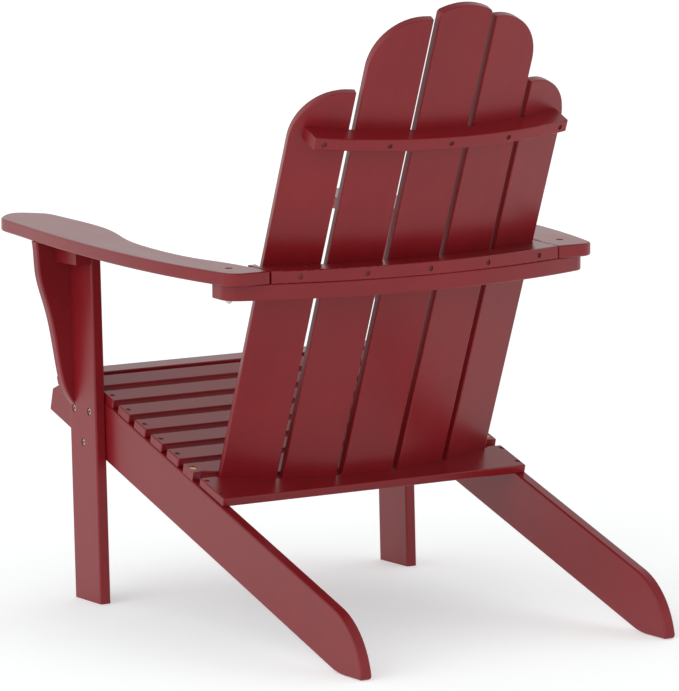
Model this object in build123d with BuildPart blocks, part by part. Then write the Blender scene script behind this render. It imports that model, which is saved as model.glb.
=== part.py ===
from build123d import *
import math
import os

os.makedirs("parts", exist_ok=True)

# An adirondack chair: flat painted boards, bolted and screwed, nothing in it moves.
# +Z is up, the sitter looks towards -Y, +X is the sitter's left.
# The origin is on the floor, under the middle of the chair's outline.

# Overall sizes
overall_depth = 1045       # from the tips of the arms to the heels of the stringers
overall_width = 714        # across the arms at their widest
arm_overhang = 67          # the arms reach this far outside the legs at their widest
leg_span = overall_width - 2 * arm_overhang   # over the outer faces of the front legs

# Front legs
leg_width = 88
leg_thickness = 18
leg_setback = 178          # the arms reach this far ahead of the legs
leg_bolt_spots = [(0.83, 0.4), (0.25, 0.225), (0.51, 0.855)]   # parts of leg width, of stringer depth

# Side stringers: one board a side from the front of the seat to the floor
stringer_width = 88.5
stringer_thickness = 18
seat_height = 318          # top of the stringer line at the rear face of the legs
heel_line = 70             # height of that same line where it passes over the heel
nose_reach = 176           # from the legs' rear face to the front cut, along the slope
crest_start = 80           # where the top turns up to the level of the first slats
crest_length = 40
crest_turn = 10.9          # degrees between the slope and the crest
nose_turn = 37.6           # degrees between the slope and the drop of the nose
heel_radius = 114
heel_round = 6             # small rounding where the heel meets the flat foot
toe_radius = 130           # easy bend from the board's lower edge into the flat foot

# Seat
seat_slat_width = 38
seat_slat_thickness = 14.5
seat_gap = 17.3
seat_slat_count = 6        # straight slats on the slope, between the crest and the shaped one
nose_slat_back = 14        # gap from the crest to the slat on the nose
shaped_slat_ends = 31.5    # width of the last slat where it lies on the stringers
shaped_slat_step = 2.5     # its ends reach this far behind the curve of its rear edge
end_inset = 1              # the slats stop this far inside the outer faces of the stringers
shaped_slat_tab = 15       # length of that full width, from the end of the slat
shaped_slat_radius = 790   # curve of its rear edge
sill_thickness = 13.5
sill_middle = 34           # width of the wide rear board behind the middle back slat
sill_half = leg_span / 2 - 21   # half the length of the wide rear board
sill_step = 4              # the front edge of its notches for the outer slats sits this far ahead of them
sill_screw_insets = (12, 16)   # its screws, from the front edge and from the rear edge

# Back
seat_depth = 353.5         # from the legs' rear face to the back, along the stringers
back_angle = 24
back_radius = 720          # the five slats stand round a shallow barrel of this radius
back_slat_gap = 9.5
back_side_room = 9         # between the outer slats, laid flat, and the ends of the upper crossbar
back_slat_thickness = 15
back_length = 813
second_drop = 21           # the slats beside the middle one are this much shorter
outer_drop = 142
middle_rise = 10.5         # rise of the arch on top of the middle slat
middle_corner = 7
corner_flat = 6            # straight edge left on top of a side slat, inside its round outer corner
inner_corner = 3
slat_clearance = 6         # between the shaped seat slat and the back slats
spacer_half = leg_span / 2 - 39.5   # half the length of the upper crossbar, between the arms
back_slat_width = (2 * (spacer_half - back_side_room) - 4 * back_slat_gap) / 5
corner_radius = back_slat_width - corner_flat   # outer top corner of the four side slats

# Arms and the two crossbars behind the back
arm_height = 569           # underside of the arms at the rear face of the legs
arm_tilt = 2.3             # the arms rise towards the front by this many degrees
arm_thickness = 20
arm_front_width = 96
arm_nose_inset = 17        # the outer edge draws in this much at the nose and behind the waist
arm_nose_depth = 23        # how far back the round of the nose begins to straighten
arm_waist_width = 69
arm_waist_back = 205       # the waist is this far behind the legs
arm_end_inset = 41         # the outer edge draws in this much at the rear end
arm_end_corner = 26
arm_bolt_inset = 38        # bolt from the inner edge
arm_bolt_back = 58         # bolt from the rear end
joint_gap = 2
crossbar_thickness = 24
crossbar_half = leg_span / 2 + 24
crossbar_width = 48        # at the middle, measured on top
crossbar_radius = 820      # curve of both rear edges
crossbar_corners = (28, 6) # rear and front corners of the lower crossbar
crossbar_lap = 3           # the crossbars' ends reach this far ahead of the outer slats' rear edges
spacer_screw_x = spacer_half - 65.5
spacer_screw_inset = 32    # from the rear edge

# Upper back brace
brace_height = 612         # top of the brace, up the middle slat from the seat
brace_thickness = 19.5
brace_width = 32
brace_half = 5 * back_slat_width / 2 + 2 * back_slat_gap - 23.5   # stops inside the outer slats' edges
brace_radius = 877

# Brackets and cleats under the arms
bracket_thickness = 18
bracket_reach = 60         # how far it stands out from the leg under the arm
bracket_drop = 259         # its height
bracket_screw_heights = (70, 160)   # above the seat height
cleat_width = 26
cleat_height = 31
cleat_screw_insets = (18, 50)       # from the rear edge of the leg
arm_screw_inset = 34                # the screw up into the arm, from the same edge

# Rounding of the boards
edge_round = 3
slat_round = 2

# Fasteners
hole_clearance = 0.3       # added to the diameter of each hole that a fastener passes
bolt_d = 6
bolt_head_d = 10
bolt_head_h = 5
bolt_sink = 1.2            # heads stop this far below the surface
hex_key = 5
key_depth = 3
bolt_head_room = 0.9       # ring of free space round a sunk head
washer_d = 12.5
washer_t = 1.6
nut_flats = 10
nut_t = 5
nut_tail = 2               # bolt showing past the nut
screw_d = 4
screw_head_d = 8
wide_head_d = 11.5         # the two screws of the shaped seat slat
screw_head_h = 2.6
screw_sink = 1
drive_d = 2.6
drive_depth = 1.4
seat_screw_length = 36
rear_screw_length = 62
rear_screw_bore = 2.4      # depth of the bore that hides each rear screw's head
brace_screw_length = 38
brace_screw_bore = 2.2
sill_screw_length = 38
cleat_screw_length = 36
bracket_screw_length = 34
arm_screw_length = 44
over = 2                   # cutters start this far outside the wood

# Places that follow from the sizes above
front_y = -overall_depth / 2
heel_y = overall_depth / 2
leg_front_y = front_y + leg_setback
leg_rear_y = leg_front_y + leg_width
leg_outer_x = leg_span / 2
leg_inner_x = leg_outer_x - leg_thickness
stringer_inner_x = leg_inner_x - stringer_thickness
stringer_mid_x = (leg_inner_x + stringer_inner_x) / 2
seat_angle = math.degrees(math.atan2(seat_height - heel_line, heel_y - leg_rear_y))
arm_outer_x = overall_width / 2
arm_inner_x = spacer_half + joint_gap
back_pitch = math.degrees((back_slat_width + back_slat_gap) / back_radius)


def direction(degrees_up):
    """Unit vector that points to the rear and up by the given angle."""
    return Vector(0, math.cos(math.radians(degrees_up)), math.sin(math.radians(degrees_up)))


slope = direction(-seat_angle)
seat_up = direction(90 - seat_angle)
back_up = direction(90 - back_angle)
back_out = direction(-back_angle)
arm_back = direction(-arm_tilt)
arm_up = direction(90 - arm_tilt)
seat_origin = Vector(0, leg_rear_y, seat_height)
arm_origin = Vector(0, leg_rear_y, arm_height)
back_origin = seat_origin + slope * seat_depth


def seat_plane(s, turn=0.0, corner=(0.0, 0.0)):
    """Plane on top of the stringers, s along it from the corner given in the slope's own axes."""
    along = direction(-seat_angle + turn)
    origin = seat_origin + slope * corner[0] + seat_up * corner[1] + along * s
    return Plane(origin=origin, x_dir=(1, 0, 0), z_dir=direction(90 - seat_angle + turn))


def arm_plane(height=0.0):
    """Plane parallel to the arms, at a height above their underside."""
    return Plane(origin=arm_origin + arm_up * height, x_dir=(1, 0, 0), z_dir=arm_up)


def slat_plane(index):
    """Rear face of a back slat, index -2 to 2 from the sitter's right to the left."""
    turn = math.radians(index * back_pitch)
    origin = back_origin + Vector(back_radius * math.sin(turn), 0, 0)
    origin = origin - back_out * (back_radius * (1 - math.cos(turn)))
    across = back_out * math.sin(turn) - Vector(math.cos(turn), 0, 0)
    return Plane(origin=origin, x_dir=across, z_dir=Vector(math.sin(turn), 0, 0) + back_out * math.cos(turn))


def meet(start, step, plane):
    """Point where the line from start in the direction step crosses a plane."""
    reach = (plane.origin - start).dot(plane.z_dir) / step.dot(plane.z_dir)
    return start + step * reach


def arm_place(point):
    """Place of a point seen in the arm plane: x, and the distance behind the legs."""
    return point.X, (point - arm_origin).dot(arm_back)


# Where the rear edges of the crossbars run, in the arm plane
slat_at_arm = arm_place(meet(back_origin, back_up, arm_plane(arm_thickness)))
crossbar_rear = slat_at_arm[1] + crossbar_width


def crossbar_edge(x):
    """Rear edge of the crossbars at x, in the arm plane."""
    return crossbar_rear - crossbar_radius + math.sqrt(crossbar_radius ** 2 - x ** 2)


outer_edge = slat_plane(2).origin - slat_plane(2).x_dir * (back_slat_width / 2)
crossbar_front = arm_place(meet(outer_edge, back_up, arm_plane(-crossbar_thickness)))[1]
arm_rear = crossbar_edge(spacer_half)


def socket_bolt(shank, tail):
    """Socket-head bolt, washer and nut as three solids; the head's top is at z = 0."""
    with BuildPart(mode=Mode.PRIVATE) as bolt:
        Cylinder(bolt_head_d / 2, bolt_head_h, align=(Align.CENTER, Align.CENTER, Align.MAX))
        fillet(bolt.edges().group_by(Axis.Z)[-1], 0.6)
        with BuildSketch():
            RegularPolygon(hex_key / 2, 6, major_radius=False)
        extrude(amount=-key_depth, mode=Mode.SUBTRACT)
        with BuildSketch(Plane.XY.offset(-bolt_head_h)):
            Circle(bolt_d / 2)
        extrude(amount=-(shank - bolt_head_h + tail))
    return bolt.part


def wood_screw(length, head_d=screw_head_d):
    """Countersunk wood screw with its head's top at z = 0 and the point down."""
    with BuildPart(mode=Mode.PRIVATE) as screw:
        with BuildSketch(Plane.XZ):
            with BuildLine():
                Polyline((0, 0), (head_d / 2, 0), (head_d / 2, -0.5),
                         (screw_d / 2, -screw_head_h), (screw_d / 2, -length + screw_d),
                         (0, -length), (0, 0))
            make_face()
        revolve(axis=Axis.Z)
        with BuildSketch():
            RegularPolygon(drive_d / 2, 4)
        extrude(amount=-drive_depth, mode=Mode.SUBTRACT)
    return screw.part


def screw_hole(length, head_d=screw_head_d):
    """Cutter for a countersunk screw whose head stops below the surface, surface at z = 0."""
    gap = hole_clearance / 2
    head = head_d / 2 + gap
    shank = screw_d / 2 + gap
    with BuildPart(mode=Mode.PRIVATE) as cutter:
        with BuildSketch(Plane.XZ):
            with BuildLine():
                Polyline((0, 1), (head, 1), (head, -screw_sink - 0.5 - gap),
                         (shank, -screw_sink - screw_head_h - gap), (shank, -screw_sink - length - 1),
                         (0, -screw_sink - length - 1), (0, 1))
            make_face()
        revolve(axis=Axis.Z)
    return cutter.part


def bolt_hole(length):
    """Cutter for a counterbored bolt, surface at z = 0."""
    with BuildPart(mode=Mode.PRIVATE) as cutter:
        with BuildSketch(Plane.XY.offset(1)):
            Circle(bolt_head_d / 2 + bolt_head_room)
        extrude(amount=-(1 + bolt_sink + bolt_head_h))
        with BuildSketch(Plane.XY):
            Circle((bolt_d + hole_clearance) / 2)
        extrude(amount=-length)
    return cutter.part


# ---------------------------------------------------------------- seat rows
# Each straight seat slat: where its middle is, and how far its bed is turned from the slope.
crest_run = crest_length * math.cos(math.radians(crest_turn))
crest_corner = (-crest_start - crest_run, -crest_length * math.sin(math.radians(crest_turn)))
nose_run = nose_reach - crest_start - crest_run
nose_corner = (-nose_reach, crest_corner[1] - nose_run * math.tan(math.radians(nose_turn)))
tab_x = leg_inner_x - end_inset - shaped_slat_tab
end_sagitta = shaped_slat_radius - math.sqrt(shaped_slat_radius ** 2 - tab_x ** 2)
shaped_middle = seat_depth - back_slat_thickness - slat_clearance
shaped_rear = shaped_middle - end_sagitta + shaped_slat_step
shaped_front = shaped_rear - shaped_slat_ends
seat_pitch = seat_slat_width + seat_gap
last_straight = shaped_front - seat_gap - seat_slat_width / 2
seat_rows = [(last_straight - row * seat_pitch, 0, (0, 0)) for row in range(seat_slat_count)]
seat_rows.append((-crest_length / 2, crest_turn, (-crest_start, 0)))
seat_rows.append((-nose_slat_back - seat_slat_width / 2, nose_turn, crest_corner))
seat_rows.reverse()
seat_screw_planes = [seat_plane(*row).offset(seat_slat_thickness) for row in seat_rows]
seat_screw_planes.append(seat_plane((shaped_front + shaped_rear) / 2).offset(seat_slat_thickness))
sill_front_end = seat_depth - back_radius * (1 - math.cos(math.radians(2 * back_pitch))) - sill_step
sill_rear = seat_depth + sill_middle
sill_front = sill_front_end - back_slat_width / 2 * math.sin(math.radians(2 * back_pitch))
sill_screw_planes = [seat_plane(sill_front + sill_screw_insets[0]).offset(sill_thickness),
                     seat_plane(sill_rear - sill_screw_insets[1]).offset(sill_thickness)]
slat_length = 2 * (leg_inner_x - end_inset)


def side_point(s, h):
    """Place in the side view of a point given along the slope and above it."""
    point = seat_origin + slope * s + seat_up * h
    return point.Y, point.Z


def side_points(*places):
    """Points of a side view, on a sketch that looks along X."""
    return [side_point(s, h) for s, h in places]


def keep(piece, name):
    """Name a finished piece and write it out."""
    piece.label = name
    export_step(piece, f"parts/{name}.step")


# ---------------------------------------------------------------- side stringers
# Nose, crest, long slope, round heel and a flat foot on the floor, cut from one wide board.
tilt = math.radians(seat_angle)
leg_bolts = [(leg_rear_y - across * leg_width, seat_height + across * leg_width * math.tan(tilt)
              - down * stringer_width / math.cos(tilt)) for across, down in leg_bolt_spots]
heel = Vector(0, heel_y, 0) - seat_origin
heel_s = heel.dot(slope)
heel_start = heel_s - math.sqrt(heel_radius ** 2 - (heel_radius + heel.dot(seat_up)) ** 2)
toe_y = leg_rear_y + (seat_height - stringer_width / math.cos(tilt)) / math.tan(tilt)

for side, name in ((1, "stringer_left"), (-1, "stringer_right")):
    with BuildPart() as stringer:
        with BuildSketch(Plane.YZ.offset(side * stringer_inner_x)) as outline:
            with BuildLine():
                top = Polyline(*side_points((-nose_reach, -stringer_width), nose_corner, crest_corner,
                                            (-crest_start, 0), (heel_start, 0)))
                back = TangentArc(top @ 1, (heel_y, 0), tangent=(slope.Y, slope.Z))
                Polyline(back @ 1, (toe_y, 0), top @ 0)
            make_face()
            fillet(outline.vertices().sort_by(Axis.X)[-1], heel_round)
            fillet(outline.vertices().sort_by_distance((toe_y, 0))[0], toe_radius)
        extrude(amount=side * stringer_thickness)
        fillet(stringer.faces().sort_by(Axis.X)[0].edges() + stringer.faces().sort_by(Axis.X)[-1].edges(),
               edge_round)
        with Locations(*[Location((side * leg_inner_x, y, z), (0, 90 * side, 0)) for y, z in leg_bolts]):
            Cylinder((bolt_d + hole_clearance) / 2, 3 * stringer_thickness, mode=Mode.SUBTRACT)
        for plane in seat_screw_planes + sill_screw_planes:
            with Locations(plane * Location((side * stringer_mid_x, 0, 0))):
                add(screw_hole(seat_screw_length), mode=Mode.SUBTRACT)
    keep(stringer.part, name)

# ---------------------------------------------------------------- front legs
# Upright boards on the outer faces of the stringers, cut on top to the tilt of the arms.
leg_front_top = arm_height + leg_width * math.tan(math.radians(arm_tilt))
bracket_screws = [seat_height + height for height in bracket_screw_heights]
bracket_mid_y = leg_front_y + bracket_thickness / 2
cleat_screw_y = [leg_rear_y - inset for inset in cleat_screw_insets]
cleat_mid_z = arm_height - cleat_height / 2

for side, name in ((1, "leg_left"), (-1, "leg_right")):
    with BuildPart() as leg:
        with BuildSketch(Plane.YZ.offset(side * leg_inner_x)):
            with BuildLine():
                Polyline((leg_front_y, 0), (leg_rear_y, 0), (leg_rear_y, arm_height),
                         (leg_front_y, leg_front_top), (leg_front_y, 0))
            make_face()
        extrude(amount=side * leg_thickness)
        fillet(leg.edges().filter_by(Axis.Z), edge_round)
        with Locations(*[Location((side * leg_outer_x, y, z), (0, 90 * side, 0)) for y, z in leg_bolts]):
            add(bolt_hole(2 * leg_thickness), mode=Mode.SUBTRACT)
        with Locations(*[Location((side * leg_inner_x, bracket_mid_y, z), (0, -90 * side, 0))
                         for z in bracket_screws]):
            add(screw_hole(bracket_screw_length), mode=Mode.SUBTRACT)
        with Locations(*[Location((side * leg_inner_x, y, cleat_mid_z), (0, -90 * side, 0))
                         for y in cleat_screw_y]):
            add(screw_hole(cleat_screw_length), mode=Mode.SUBTRACT)
    keep(leg.part, name)

# ---------------------------------------------------------------- arm brackets
# A shaped board set across each leg, wide under the arm and running out on the leg's face.
for side, name in ((1, "bracket_left"), (-1, "bracket_right")):
    with BuildPart() as bracket:
        with BuildSketch(Plane.XZ.offset(-leg_front_y)) as outline:
            with BuildLine():
                top_z = leg_front_top + over
                foot_z = arm_height - bracket_drop
                inner = Line((side * leg_outer_x, foot_z), (side * leg_outer_x, top_z))
                crown = Line(inner @ 1, (side * (leg_outer_x + bracket_reach), top_z))
                Spline(crown @ 1, (side * (leg_outer_x + 0.925 * bracket_reach), top_z - 0.2 * bracket_drop),
                       (side * (leg_outer_x + 0.683 * bracket_reach), top_z - 0.42 * bracket_drop),
                       (side * (leg_outer_x + 0.4 * bracket_reach), top_z - 0.78 * bracket_drop), inner @ 0,
                       tangents=((-side * 0.25, -1), (-side * 0.8, -1)))
            make_face()
        extrude(amount=-bracket_thickness)
        split(bisect_by=arm_plane(), keep=Keep.BOTTOM)
        fillet(bracket.faces().sort_by(Axis.X)[-1 if side > 0 else 0].edges().filter_by(
            lambda e: e.length > bracket_drop / 2), edge_round)
        with Locations(*[Location((side * leg_inner_x, bracket_mid_y, z), (0, -90 * side, 0))
                         for z in bracket_screws]):
            add(screw_hole(bracket_screw_length), mode=Mode.SUBTRACT)
    keep(bracket.part, name)

# ---------------------------------------------------------------- cleats
# Small blocks in the corner between bracket, leg and arm, which the arm is screwed up from.
cleat_front_y = leg_front_y + bracket_thickness
arm_screw_y = leg_rear_y - arm_screw_inset
cleat_mid_x = leg_outer_x + cleat_width / 2

for side, name in ((1, "cleat_left"), (-1, "cleat_right")):
    with BuildPart() as cleat:
        with BuildSketch(Plane.XY.offset(arm_height - cleat_height)):
            with Locations((side * cleat_mid_x, (cleat_front_y + leg_rear_y) / 2)):
                Rectangle(cleat_width, leg_rear_y - cleat_front_y)
        extrude(amount=leg_front_top + over - arm_height + cleat_height)
        split(bisect_by=arm_plane(), keep=Keep.BOTTOM)
        outside = cleat.faces().sort_by(Axis.X)[-1 if side > 0 else 0]
        fillet(outside.edges().sort_by(Axis.Z)[0], slat_round)
        with Locations(*[Location((side * leg_inner_x, y, cleat_mid_z), (0, -90 * side, 0))
                         for y in cleat_screw_y]):
            add(screw_hole(cleat_screw_length), mode=Mode.SUBTRACT)
        with Locations(Location((side * cleat_mid_x, arm_screw_y, arm_height - cleat_height), (180, 0, 0))):
            add(screw_hole(arm_screw_length), mode=Mode.SUBTRACT)
    keep(cleat.part, name)

# ---------------------------------------------------------------- arms
# Flat paddles: broad round nose, waist beside the sitter's elbow, square end at the upper crossbar.
nose_y = -leg_width - leg_setback
arm_bolt_x = arm_inner_x + arm_bolt_inset
arm_bolt_y = arm_rear - arm_bolt_back

for side, name in ((1, "arm_left"), (-1, "arm_right")):
    with BuildPart() as arm:
        with BuildSketch(arm_plane()) as outline:
            with BuildLine():
                shoulder_y = nose_y + 0.7 * arm_front_width
                outer_x = side * arm_outer_x
                nose_in = (side * (arm_outer_x - arm_nose_inset - arm_front_width), shoulder_y)
                nose_out = (side * (arm_outer_x - arm_nose_inset), shoulder_y)
                nose_tip = side * (arm_outer_x - arm_nose_inset - 0.54 * arm_front_width)
                waist_x = side * (arm_outer_x - arm_waist_width)
                end = Line((side * arm_inner_x, arm_rear), (side * (arm_outer_x - arm_end_inset), arm_rear))
                rim = Spline(end @ 1, (side * (arm_outer_x - arm_nose_inset), 0.77 * arm_rear),
                             (outer_x, 0.33 * arm_rear), (outer_x - side * 7, 0.25 * nose_y), nose_out,
                             tangents=((side * 0.25, -1), (-side * 0.06, -1)))
                nose = Spline(rim @ 1, (nose_out[0] - side * 0.2 * arm_front_width, nose_y + arm_nose_depth),
                              (nose_tip, nose_y),
                              (nose_in[0] + side * 0.14 * arm_front_width, nose_y + arm_nose_depth), nose_in,
                              tangents=((-side * 0.06, -1), (-side * 0.02, 1)))
                inner = Spline(nose @ 1, (nose_in[0] + side * 7, 0),
                               (waist_x - side * 11, arm_waist_back / 2),
                               (waist_x, arm_waist_back), (waist_x - side * 8, 0.66 * arm_rear),
                               (side * (arm_inner_x + 4), arm_rear - arm_bolt_back),
                               tangents=((-side * 0.02, 1), (-side * 0.1, 1)))
                Polyline(inner @ 1, (side * arm_inner_x, arm_rear - crossbar_width), end @ 0)
            make_face()
            ends = outline.vertices().group_by(Axis.Y)[-1].sort_by(Axis.X)
            fillet(ends[-1] if side > 0 else ends[0], arm_end_corner)
        extrude(amount=arm_thickness)
        rims = arm.faces().sort_by(Axis.Z)
        fillet(rims[-1].edges() + rims[0].edges(), edge_round)
        with Locations(arm_plane(arm_thickness) * Location((side * arm_bolt_x, arm_bolt_y, 0))):
            add(bolt_hole(3 * arm_thickness), mode=Mode.SUBTRACT)
        with Locations(Location((side * cleat_mid_x, arm_screw_y, arm_height - cleat_height), (180, 0, 0))):
            add(screw_hole(arm_screw_length), mode=Mode.SUBTRACT)
    keep(arm.part, name)

# ---------------------------------------------------------------- crossbars
# Two boards, one on the other, with one rear curve; their front edges have a flat for each slat.
slat_indexes = range(-2, 3)
crossbar_front_y = crossbar_front - crossbar_lap
spacer_screw_y = crossbar_edge(spacer_screw_x) - spacer_screw_inset
spacer_screw_spots = [(side * spacer_screw_x, spacer_screw_y, 0) for side in (1, -1)]

with BuildPart() as slat_room:
    for index in slat_indexes:
        with BuildSketch(slat_plane(index)):
            with Locations((0, back_length / 2)):
                Rectangle(back_slat_width + back_slat_gap + 1, 2 * back_length)
        extrude(amount=-8 * back_slat_thickness)


def rear_screw_plane(index):
    """Where a screw enters the rear edge of the upper crossbar, looking at the slat's middle."""
    foot = arm_place(meet(slat_plane(index).origin, back_up, arm_plane(arm_thickness / 2)))
    aim = math.radians(index * back_pitch)
    reach = crossbar_width * 1.1
    x = foot[0] + reach * math.sin(aim)
    origin = arm_plane(arm_thickness / 2).from_local_coords(Vector(x, crossbar_edge(x), 0))
    out = arm_back * math.cos(aim) + Vector(math.sin(aim), 0, 0)
    return Plane(origin=origin, x_dir=arm_up, z_dir=out)


def sunk_screw_hole(bore, length):
    """Cutter for a screw at the bottom of a straight bore, surface at z = 0."""
    with BuildPart(mode=Mode.PRIVATE) as cutter:
        with BuildSketch(Plane.XY.offset(over)):
            Circle((screw_head_d + hole_clearance) / 2)
        extrude(amount=-(bore + over - screw_sink))
        with Locations((0, 0, screw_sink - bore)):
            add(screw_hole(length))
    return cutter.part


with BuildPart() as lower_crossbar:
    with BuildSketch(arm_plane()) as outline:
        with BuildLine():
            arc = ThreePointArc((crossbar_half, crossbar_edge(crossbar_half)), (0, crossbar_rear),
                                (-crossbar_half, crossbar_edge(crossbar_half)))
            Polyline(arc @ 1, (-crossbar_half, crossbar_front_y), (crossbar_half, crossbar_front_y), arc @ 0)
        make_face()
        fillet(outline.vertices().group_by(Axis.Y)[-1], crossbar_corners[0])
        fillet(outline.vertices().group_by(Axis.Y)[0], crossbar_corners[1])
    extrude(amount=-crossbar_thickness)
    add(slat_room.part, mode=Mode.SUBTRACT)
    fillet(lower_crossbar.edges().filter_by(GeomType.CIRCLE).filter_by(lambda e: e.length > crossbar_half),
           slat_round)
    for side in (1, -1):
        with Locations(arm_plane(arm_thickness) * Location((side * arm_bolt_x, arm_bolt_y, 0))):
            add(bolt_hole(3 * arm_thickness), mode=Mode.SUBTRACT)
    for spot in spacer_screw_spots:
        with Locations(arm_plane(arm_thickness) * Location(spot)):
            add(screw_hole(seat_screw_length), mode=Mode.SUBTRACT)
keep(lower_crossbar.part, "lower_crossbar")

with BuildPart() as upper_crossbar:
    with BuildSketch(arm_plane()):
        with BuildLine():
            arc = ThreePointArc((spacer_half, crossbar_edge(spacer_half)), (0, crossbar_rear),
                                (-spacer_half, crossbar_edge(spacer_half)))
            Polyline(arc @ 1, (-spacer_half, crossbar_front_y), (spacer_half, crossbar_front_y), arc @ 0)
        make_face()
    extrude(amount=arm_thickness)
    add(slat_room.part, mode=Mode.SUBTRACT)
    fillet(upper_crossbar.edges().filter_by(GeomType.CIRCLE).filter_by(lambda e: e.length > spacer_half),
           slat_round)
    for index in slat_indexes:
        with Locations(rear_screw_plane(index)):
            add(sunk_screw_hole(rear_screw_bore, rear_screw_length), mode=Mode.SUBTRACT)
    for spot in spacer_screw_spots:
        with Locations(arm_plane(arm_thickness) * Location(spot)):
            add(screw_hole(seat_screw_length), mode=Mode.SUBTRACT)
keep(upper_crossbar.part, "upper_crossbar")

# ---------------------------------------------------------------- upper back brace
# A curved bar square to the slats, screwed to each of them through its rear edge.
brace_plane = Plane(origin=back_origin + back_up * brace_height, x_dir=(1, 0, 0), z_dir=back_up)


def brace_edge(x):
    """Rear edge of the brace at x, behind the middle slat's rear face."""
    return brace_width - brace_radius + math.sqrt(brace_radius ** 2 - x ** 2)


def brace_screw_plane(index):
    """Where a screw enters the rear edge of the brace, square to its slat."""
    plane = slat_plane(index)
    start = plane.from_local_coords(Vector(0, brace_height - brace_thickness / 2, 0))
    reach = brace_width
    for _ in range(4):
        point = start + plane.z_dir * reach
        reach += brace_edge(point.X) - (point - back_origin).dot(back_out)
    return Plane(origin=start + plane.z_dir * reach, x_dir=back_up, z_dir=plane.z_dir)


with BuildPart() as brace:
    with BuildSketch(brace_plane):
        with BuildLine():
            arc = ThreePointArc((brace_half, brace_edge(brace_half)), (0, brace_width),
                                (-brace_half, brace_edge(brace_half)))
            Polyline(arc @ 1, (-brace_half, -back_slat_width), (brace_half, -back_slat_width), arc @ 0)
        make_face()
    extrude(amount=-brace_thickness)
    add(slat_room.part, mode=Mode.SUBTRACT)
    fillet(brace.edges().filter_by(GeomType.CIRCLE).filter_by(lambda e: e.length > brace_half), slat_round)
    for index in slat_indexes:
        with Locations(brace_screw_plane(index)):
            add(sunk_screw_hole(brace_screw_bore, brace_screw_length), mode=Mode.SUBTRACT)
keep(brace.part, "back_brace")

# ---------------------------------------------------------------- back slats
# Five boards: the middle one arched on top, the others rounded at their outer corner.
sill_screw_v = sill_thickness / 2
slat_tops = {0: back_length, 1: back_length - second_drop, 2: back_length - outer_drop}
slat_names = {2: "back_slat_1", 1: "back_slat_2", 0: "back_slat_3", -1: "back_slat_4", -2: "back_slat_5"}


def sill_edge_screws(index):
    """The two screws through the front of a back slat's foot, into the edge of the rear board."""
    face = slat_plane(index).offset(-back_slat_thickness)
    spots = [(x, sill_screw_v, 0) for x in (-back_slat_width / 4, back_slat_width / 4)]
    return [face * Location(spot, (0, 180, 0)) for spot in spots]


for index in slat_indexes:
    half = back_slat_width / 2
    top_v = slat_tops[abs(index)]
    with BuildPart() as slat:
        with BuildSketch(slat_plane(index)) as outline:
            with BuildLine():
                if index == 0:
                    arc = ThreePointArc((-half, top_v - middle_rise), (0, top_v), (half, top_v - middle_rise))
                    Polyline(arc @ 1, (half, 0), (-half, 0), arc @ 0)
                else:
                    Polyline((-half, 0), (half, 0), (half, top_v), (-half, top_v), (-half, 0))
            make_face()
            tops = outline.vertices().group_by(Axis.Y)[-1].sort_by(Axis.X)
            if index == 0:
                fillet(tops, middle_corner)
            else:
                outer = tops[0] if index > 0 else tops[-1]
                inner = tops[-1] if index > 0 else tops[0]
                fillet(outer, corner_radius)
                fillet(inner, inner_corner)
        extrude(amount=-back_slat_thickness)
        flats = slat.faces().sort_by(Axis(back_origin, slat_plane(index).z_dir))
        fillet(flats[0].edges() + flats[-1].edges(), slat_round)
        with Locations(rear_screw_plane(index)):
            add(sunk_screw_hole(rear_screw_bore, rear_screw_length), mode=Mode.SUBTRACT)
        with Locations(brace_screw_plane(index)):
            add(sunk_screw_hole(brace_screw_bore, brace_screw_length), mode=Mode.SUBTRACT)
        with Locations(*sill_edge_screws(index)):
            add(screw_hole(sill_screw_length), mode=Mode.SUBTRACT)
    keep(slat.part, slat_names[index])

# ---------------------------------------------------------------- seat
# Straight slats on nose, crest and slope, each with one screw into either stringer.
for number, row in enumerate(seat_rows, 1):
    with BuildPart() as slat:
        with BuildSketch(seat_plane(*row)):
            Rectangle(slat_length, seat_slat_width)
        extrude(amount=seat_slat_thickness)
        fillet(slat.edges(), slat_round)
        for side in (1, -1):
            with Locations(seat_screw_planes[number - 1] * Location((side * stringer_mid_x, 0, 0))):
                add(screw_hole(seat_screw_length), mode=Mode.SUBTRACT)
    keep(slat.part, f"seat_slat_{number}")

# The last seat slat has a rear edge that follows the back, and full width only over the stringers.
with BuildPart() as shaped_slat:
    with BuildSketch(seat_plane(0)) as outline:
        with BuildLine():
            arc_end = shaped_middle - end_sagitta
            arc = ThreePointArc((tab_x, arc_end), (0, shaped_middle), (-tab_x, arc_end))
            Polyline(arc @ 1, (-slat_length / 2, shaped_rear), (-slat_length / 2, shaped_front),
                     (slat_length / 2, shaped_front), (slat_length / 2, shaped_rear), arc @ 0)
        make_face()
    extrude(amount=seat_slat_thickness)
    fillet(shaped_slat.edges().filter_by(GeomType.CIRCLE), slat_round)
    for side in (1, -1):
        with Locations(seat_screw_planes[-1] * Location((side * stringer_mid_x, 0, 0))):
            add(screw_hole(seat_screw_length, wide_head_d), mode=Mode.SUBTRACT)
keep(shaped_slat.part, "shaped_seat_slat")

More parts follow.
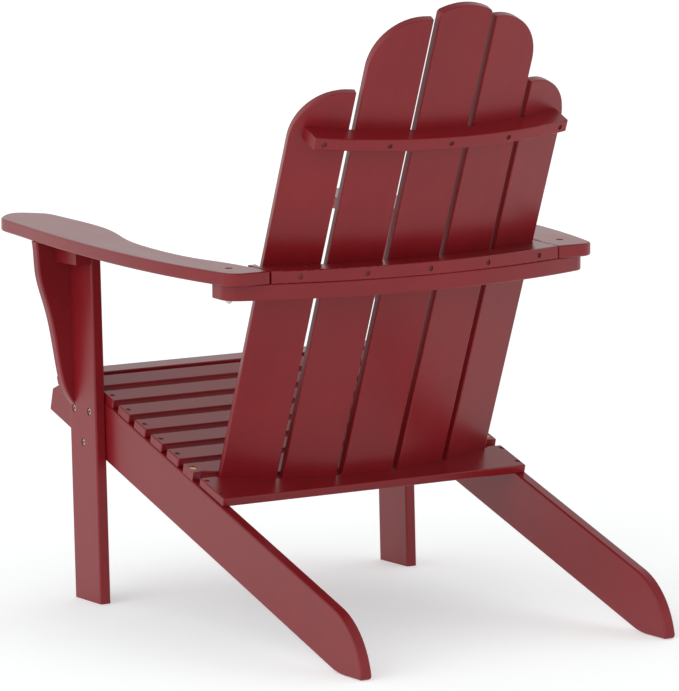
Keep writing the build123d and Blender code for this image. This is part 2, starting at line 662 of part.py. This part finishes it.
# The wide rear board lies behind the feet of the back slats, which are screwed to its front edge.
with BuildPart() as sill:
    with BuildSketch(seat_plane(0)) as outline:
        with Locations((0, (sill_front + sill_rear) / 2)):
            Rectangle(2 * sill_half, sill_rear - sill_front)
        fillet(outline.vertices(), slat_round)
    extrude(amount=sill_thickness)
    add(slat_room.part, mode=Mode.SUBTRACT)
    fillet(sill.faces().sort_by(Axis(seat_origin, slope))[-1].edges().filter_by(Axis.X), slat_round)
    for plane in sill_screw_planes:
        for side in (1, -1):
            with Locations(plane * Location((side * stringer_mid_x, 0, 0))):
                add(screw_hole(seat_screw_length), mode=Mode.SUBTRACT)
    for index in slat_indexes:
        with Locations(*sill_edge_screws(index)):
            add(screw_hole(sill_screw_length), mode=Mode.SUBTRACT)
keep(sill.part, "rear_seat_board")


# ---------------------------------------------------------------- fasteners
def group(piece, places, name):
    """One node of equal fasteners, each a separate solid at its own place."""
    with BuildPart() as fasteners:
        with Locations(*places):
            add(piece)
    keep(fasteners.part, name)


def nuts(places, name):
    """Washers and nuts on the far ends of bolts; z = 0 is the face that the washer lies on."""
    bore = (bolt_d + hole_clearance) / 2
    with BuildPart(mode=Mode.PRIVATE) as washer:
        with BuildSketch():
            Circle(washer_d / 2)
            Circle(bore, mode=Mode.SUBTRACT)
        extrude(amount=washer_t)
    with BuildPart(mode=Mode.PRIVATE) as nut:
        with BuildSketch(Plane.XY.offset(washer_t)):
            RegularPolygon(nut_flats / 2, 6, major_radius=False)
            Circle(bore, mode=Mode.SUBTRACT)
        extrude(amount=nut_t)
    group(washer.part, places, f"{name}_washers")
    group(nut.part, places, f"{name}_nuts")


def sunk(plane):
    """The plane of a screw's head, just below the face that it is driven into."""
    return plane.offset(-screw_sink)


leg_places = [Location((side * (leg_outer_x - bolt_sink), y, z), (0, 90 * side, 0))
              for side in (1, -1) for y, z in leg_bolts]
leg_grip = leg_thickness + stringer_thickness - bolt_sink
group(socket_bolt(leg_grip, washer_t + nut_t + nut_tail), leg_places, "leg_bolts")
nuts([Location((side * stringer_inner_x, y, z), (0, -90 * side, 0))
      for side in (1, -1) for y, z in leg_bolts], "leg_bolt")

arm_places = [arm_plane(arm_thickness - bolt_sink) * Location((side * arm_bolt_x, arm_bolt_y, 0))
              for side in (1, -1)]
arm_grip = arm_thickness + crossbar_thickness - bolt_sink
group(socket_bolt(arm_grip, washer_t + nut_t + nut_tail), arm_places, "arm_bolts")
nuts([arm_plane(-crossbar_thickness) * Location((side * arm_bolt_x, arm_bolt_y, 0), (180, 0, 0))
      for side in (1, -1)], "arm_bolt")

straight_places = [sunk(plane) * Location((side * stringer_mid_x, 0, 0))
                   for plane in seat_screw_planes[:-1] for side in (1, -1)]
group(wood_screw(seat_screw_length), straight_places, "seat_screws")
shaped_places = [sunk(seat_screw_planes[-1]) * Location((side * stringer_mid_x, 0, 0)) for side in (1, -1)]
group(wood_screw(seat_screw_length, wide_head_d), shaped_places, "shaped_slat_screws")
sill_places = [sunk(plane) * Location((side * stringer_mid_x, 0, 0))
               for plane in sill_screw_planes for side in (1, -1)]
group(wood_screw(seat_screw_length), sill_places, "rear_board_screws")
group(wood_screw(rear_screw_length), [rear_screw_plane(index).offset(-rear_screw_bore)
                                      for index in slat_indexes], "crossbar_rear_screws")
group(wood_screw(brace_screw_length), [brace_screw_plane(index).offset(-brace_screw_bore)
                                       for index in slat_indexes], "brace_screws")
group(wood_screw(seat_screw_length), [arm_plane(arm_thickness - screw_sink) * Location(spot)
                                      for spot in spacer_screw_spots], "crossbar_top_screws")
group(wood_screw(sill_screw_length), [place * Location((0, 0, -screw_sink)) for index in slat_indexes
                                      for place in sill_edge_screws(index)], "slat_foot_screws")
group(wood_screw(bracket_screw_length), [
    Location((side * (leg_inner_x + screw_sink), bracket_mid_y, z), (0, -90 * side, 0))
    for side in (1, -1) for z in bracket_screws], "bracket_screws")
group(wood_screw(cleat_screw_length), [
    Location((side * (leg_inner_x + screw_sink), y, cleat_mid_z), (0, -90 * side, 0))
    for side in (1, -1) for y in cleat_screw_y], "cleat_screws")
group(wood_screw(arm_screw_length), [
    Location((side * cleat_mid_x, arm_screw_y, arm_height - cleat_height + screw_sink), (180, 0, 0))
    for side in (1, -1)], "arm_screws")
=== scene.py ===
import math

import bpy
from mathutils import Matrix, Vector


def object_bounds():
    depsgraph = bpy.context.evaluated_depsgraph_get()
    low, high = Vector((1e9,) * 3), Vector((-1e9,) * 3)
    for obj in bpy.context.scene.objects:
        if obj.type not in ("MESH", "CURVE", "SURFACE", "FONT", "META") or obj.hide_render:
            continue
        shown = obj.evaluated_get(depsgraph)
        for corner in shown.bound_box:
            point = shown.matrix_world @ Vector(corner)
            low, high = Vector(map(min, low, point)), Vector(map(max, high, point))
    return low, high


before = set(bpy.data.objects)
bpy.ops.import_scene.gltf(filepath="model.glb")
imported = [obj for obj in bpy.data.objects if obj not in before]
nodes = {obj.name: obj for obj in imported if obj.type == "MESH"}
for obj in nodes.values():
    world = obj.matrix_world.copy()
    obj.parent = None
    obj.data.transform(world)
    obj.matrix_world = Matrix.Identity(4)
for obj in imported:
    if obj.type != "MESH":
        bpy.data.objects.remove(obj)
cad_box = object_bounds()

# ------------------------------------------------------------------ side stringers
# Two long softwood boards, planed, edges eased, sprayed with a deep red satin paint.
# The grain runs down the slope of the board and just shows through the coats.


class Wire:
    """A socket in a node tree that sums can be written with."""

    def __init__(self, tree, socket=None):
        self.tree = tree
        self.socket = socket

    def node(self, kind, settings, sockets, out=0):
        """A node of any kind: its settings first, then its sockets' values or links."""
        made = self.tree.nodes.new(kind)
        for name, value in settings.items():
            setattr(made, name, value)
        for name, value in sockets.items():
            if isinstance(value, Wire):
                self.tree.links.new(value.socket, made.inputs[name])
            else:
                made.inputs[name].default_value = value
        return Wire(self.tree, made.outputs[out])

    def math(self, operation, *values):
        """A Math node on wires and numbers."""
        return self.node("ShaderNodeMath", {"operation": operation}, dict(enumerate(values)))

    def __add__(self, other):
        return self.math("ADD", self, other)

    def __radd__(self, other):
        return self.math("ADD", other, self)

    def __sub__(self, other):
        return self.math("SUBTRACT", self, other)

    def __rsub__(self, other):
        return self.math("SUBTRACT", other, self)

    def __mul__(self, other):
        return self.math("MULTIPLY", self, other)

    def __rmul__(self, other):
        return self.math("MULTIPLY", other, self)

    def clear(self, low, high):
        """0 below low, 1 above high, smooth between them."""
        settings = {"interpolation_type": "SMOOTHSTEP"}
        sockets = {"Value": self, "From Min": low, "From Max": high}
        return self.node("ShaderNodeMapRange", settings, sockets)

    def blend(self, first, second):
        """Colour between two others, with this number as the share of the second."""
        settings = {"data_type": "RGBA"}
        return self.node("ShaderNodeMix", settings, {0: self, 6: first, 7: second}, out=2)

    def along(self, direction):
        """How far this place lies in a direction."""
        settings = {"operation": "DOT_PRODUCT"}
        return self.node("ShaderNodeVectorMath", settings, {0: self, 1: tuple(direction)}, out="Value")

    def noise(self, scale, detail, rough):
        """Smooth noise, with a scale in waves to the metre."""
        sockets = {"Vector": self, "Scale": scale, "Detail": detail, "Roughness": rough}
        return self.node("ShaderNodeTexNoise", {}, sockets)


def start(name):
    """A new material's first wire and its main shader."""
    material = bpy.data.materials.new(name)
    material.use_nodes = True
    tree = material.node_tree
    shader = tree.nodes["Principled BSDF"]
    return material, Wire(tree), shader


def feed(shader, **wires):
    """Links wires to the shader's sockets, with _ for a space in a socket's name."""
    for name, wire in wires.items():
        wire.tree.links.new(wire.socket, shader.inputs[name.replace("_", " ")])


paint_deep = (0.176, 0.0050, 0.0085, 1)
paint_fresh = (0.208, 0.0068, 0.0108, 1)
# Lighter paint for the convex edges: partly worn-thin paint, partly a painted highlight on the rounded
# edges.
thin_paint_and_edge_highlight = (0.36, 0.06, 0.06, 1)


def painted_wood(name, grain):
    """Red satin paint on a planed board whose grain runs in the given direction."""
    material, wire, shader = start(name)
    grain = Vector(grain).normalized()
    side = grain.orthogonal().normalized()
    face = grain.cross(side)
    place = wire.node("ShaderNodeTexCoord", {}, {}, out="Object")
    lengths = (place.along(grain), place.along(side), place.along(face))

    def board_place(down_grain, over_grain):
        sockets = {0: lengths[0] * down_grain, 1: lengths[1] * over_grain, 2: lengths[2] * over_grain}
        return wire.node("ShaderNodeCombineXYZ", {}, sockets)

    rings = board_place(2.2, 60).noise(1.0, 3, 0.55)
    pores = board_place(20, 620).noise(1.0, 2, 0.6)
    cloud = place.noise(5.5, 3, 0.55)
    peel = place.noise(420, 2, 0.5)
    edge_width = 0.0045
    inside = {"inside": True, "samples": 6}
    edge = 1 - wire.node("ShaderNodeAmbientOcclusion", inside, {"Distance": edge_width})
    edge_breakup = place.noise(70, 4, 0.65)

    tone = (0.3 * rings + 0.7 * cloud).clear(0.32, 0.68)
    coat = tone.blend(paint_deep, paint_fresh)
    # Edges lightened in noisy patches: partly edge wear, partly a painted highlight along the rounded
    # edges.
    worn_and_highlit = (edge * edge_breakup).clear(0.2, 0.62) * 0.55
    feed(shader, Base_Color=worn_and_highlit.blend(coat, thin_paint_and_edge_highlight))
    feed(shader, Roughness=0.27 + 0.09 * cloud + 0.05 * rings)
    height = 0.14 * rings + 0.2 * pores + 0.3 * peel
    bump = wire.node("ShaderNodeBump", {}, {"Strength": 0.3, "Distance": 0.00035, "Height": height})
    feed(shader, Normal=bump)
    shader.inputs["IOR"].default_value = 1.47
    shader.inputs["Specular IOR Level"].default_value = 0.42
    return material


def finish_with(material, *names):
    """Gives CAD nodes their finish."""
    for name in names:
        mesh = nodes[name].data
        mesh.materials.clear()
        mesh.materials.append(material)


slope = Vector((0, 779, -248))
paint_down_slope = painted_wood("red paint, stringers", slope)
finish_with(paint_down_slope, "stringer_left", "stringer_right")

# ------------------------------------------------------------------ legs and brackets
# Upright boards bolted outside the stringers, each with a shaped bracket across it
# and a small cleat under the arm; the cleats are finished with the arms. Same paint; the grain stands
# upright.
paint_upright = painted_wood("red paint, legs", (0, 0, 1))
finish_with(paint_upright, "leg_left", "leg_right", "bracket_left", "bracket_right")

# ------------------------------------------------------------------ arms
# Flat paddles sawn from one board each, with the grain from front to rear.
paint_to_rear = painted_wood("red paint, arms", (0, 1, -0.04))
finish_with(paint_to_rear, "arm_left", "arm_right", "cleat_left", "cleat_right")

# ------------------------------------------------------------------ crosswise boards
# Crossbars, brace, seat slats and the wide rear board run from side to side.
paint_across = painted_wood("red paint, cross boards", (1, 0, 0))
finish_with(paint_across, "lower_crossbar", "upper_crossbar", "back_brace")
finish_with(paint_across, "shaped_seat_slat", "rear_seat_board")
finish_with(paint_across, *[f"seat_slat_{number}" for number in range(1, 9)])

# ------------------------------------------------------------------ back slats
# Five tall boards with the grain up the back.
paint_up_back = painted_wood("red paint, back slats", (0, 0.4067, 0.9135))
finish_with(paint_up_back, *[f"back_slat_{number}" for number in range(1, 6)])

# ------------------------------------------------------------------ fasteners
# Zinc-plated socket bolts with washers and nuts, and countersunk wood screws.
# Some of the screws kept their yellow zinc, the others are dulled by the paint.


def plated(name, low, high, rough, metal=1.0):
    """Plated steel, slightly uneven in colour and polish."""
    material, wire, shader = start(name)
    place = wire.node("ShaderNodeTexCoord", {}, {}, out="Object")
    cloud = place.noise(260, 3, 0.6)
    spin = place.noise(1500, 2, 0.5)
    feed(shader, Base_Color=cloud.clear(0.3, 0.7).blend(low, high))
    feed(shader, Roughness=rough + 0.16 * cloud)
    bump = wire.node("ShaderNodeBump", {}, {"Strength": 0.3, "Distance": 0.0001, "Height": spin})
    feed(shader, Normal=bump)
    shader.inputs["Metallic"].default_value = metal
    return material


zinc = plated("zinc-plated steel", (0.36, 0.35, 0.33, 1), (0.62, 0.6, 0.57, 1), 0.24)
finish_with(zinc, "leg_bolts", "leg_bolt_washers", "leg_bolt_nuts")
finish_with(zinc, "arm_bolts", "arm_bolt_washers", "arm_bolt_nuts")
yellow_zinc = plated("yellow zinc", (0.5, 0.33, 0.12, 1), (0.8, 0.62, 0.3, 1), 0.26)
finish_with(yellow_zinc, "shaped_slat_screws", "crossbar_top_screws")
paint_share = (0.11, 0.014, 0.016, 1), (0.21, 0.035, 0.036, 1)
dull_steel = plated("screw steel under paint", *paint_share, 0.38, 0.35)
finish_with(dull_steel, "seat_screws", "rear_board_screws", "crossbar_rear_screws", "brace_screws",
            "slat_foot_screws", "bracket_screws", "cleat_screws", "arm_screws")

# ------------------------------------------------------------------ floor
# A wide pale studio floor, matt, lit a little from below, with the faintest unevenness.
# The glow is weaker in a soft round pool between the chair's feet: a painted shadow under the chair.
floor_half = 60.0
floor_mesh = bpy.data.meshes.new("studio floor")
corners = [(-floor_half, -floor_half, 0), (floor_half, -floor_half, 0), (floor_half, floor_half, 0),
           (-floor_half, floor_half, 0)]
floor_mesh.from_pydata(corners, [], [(0, 1, 2, 3)])
floor = bpy.data.objects.new("studio floor", floor_mesh)
bpy.context.scene.collection.objects.link(floor)
floor_gap = 0.0005
floor.location.z = cad_box[0][2] - floor_gap
floor_paint, wire, shader = start("pale floor")
floor_place = wire.node("ShaderNodeTexCoord", {}, {}, out="Object")
speck = floor_place.noise(3, 2, 0.5)
# Painted shadow: the floor's glow turns grey in a soft round pool under the chair.
painted_shadow_middle = (0.06, -0.02, 0)
painted_shadow_grey = (0.63, 0.66, 0.68, 1)
from_painted_shadow = wire.node("ShaderNodeVectorMath", {"operation": "DISTANCE"},
                      {0: floor_place, 1: painted_shadow_middle}, out="Value")
feed(shader, Base_Color=speck.blend((0.755, 0.79, 0.79, 1), (0.775, 0.81, 0.81, 1)))
shader.inputs["Roughness"].default_value = 0.9
shader.inputs["Specular IOR Level"].default_value = 0.1
feed(shader, Emission_Color=from_painted_shadow.clear(0.12, 0.6).blend(painted_shadow_grey, (1, 1, 1, 1)))
shader.inputs["Emission Strength"].default_value = 0.41
floor_mesh.materials.append(floor_paint)

# ------------------------------------------------------------------ studio light
# White screens all round, dimmer overhead, and one broad soft lamp on the sitter's left.
world = bpy.data.worlds.new("white studio")
world.use_nodes = True
sky = Wire(world.node_tree)
height = sky.node("ShaderNodeTexCoord", {}, {}, out="Generated").along((0, 0, 1))
glow = world.node_tree.nodes["Background"]
glow.inputs["Color"].default_value = (1, 1, 1, 1)
screen_light = 1.06 - 0.7 * height.clear(0.45, 1.0)
world.node_tree.links.new(screen_light.socket, glow.inputs["Strength"])
bpy.context.scene.world = world

lamp = bpy.data.lights.new("broad lamp", "SUN")
lamp.energy = 0.75
lamp.angle = math.radians(60)
lamp_object = bpy.data.objects.new("broad lamp", lamp)
lamp_from = Vector((0.95, 0.25, 0.35))
lamp_object.rotation_euler = lamp_from.to_track_quat("Z", "Y").to_euler()
bpy.context.scene.collection.objects.link(lamp_object)

# ------------------------------------------------------------------ camera
# Far off behind the sitter's left shoulder, a little above the arms, with a long lens.
camera_azimuth = math.radians(150.17)
camera_height = math.radians(7.26)
camera_roll = math.radians(-1.36)
camera_aim = Vector((-0.41275, -0.76313, 0.31244))
camera_distance = 8.4245
lens_length = 258.9242     # mm, behind a frame 36 mm wide
shift_right = 0.0255891    # in widths of the frame
shift_up = -0.0098130

backward = Vector((math.sin(camera_azimuth) * math.cos(camera_height),
                   -math.cos(camera_azimuth) * math.cos(camera_height), math.sin(camera_height)))
level_right = (-backward).cross(Vector((0, 0, 1))).normalized()
level_up = level_right.cross(-backward)
right = math.cos(camera_roll) * level_right + math.sin(camera_roll) * level_up
upward = math.cos(camera_roll) * level_up - math.sin(camera_roll) * level_right
turn = Matrix((right, upward, backward)).transposed()

camera_data = bpy.data.cameras.new("camera")
camera = bpy.data.objects.new("camera", camera_data)
bpy.context.scene.collection.objects.link(camera)
camera.matrix_world = Matrix.Translation(camera_aim + backward * camera_distance) @ turn.to_4x4()
camera_data.sensor_fit = "HORIZONTAL"
camera_data.sensor_width = 36
camera_data.lens = lens_length
camera_data.shift_x = shift_right
camera_data.shift_y = shift_up
camera_data.clip_end = 200
bpy.context.scene.camera = camera
bpy.context.scene.view_settings.view_transform = "Standard"
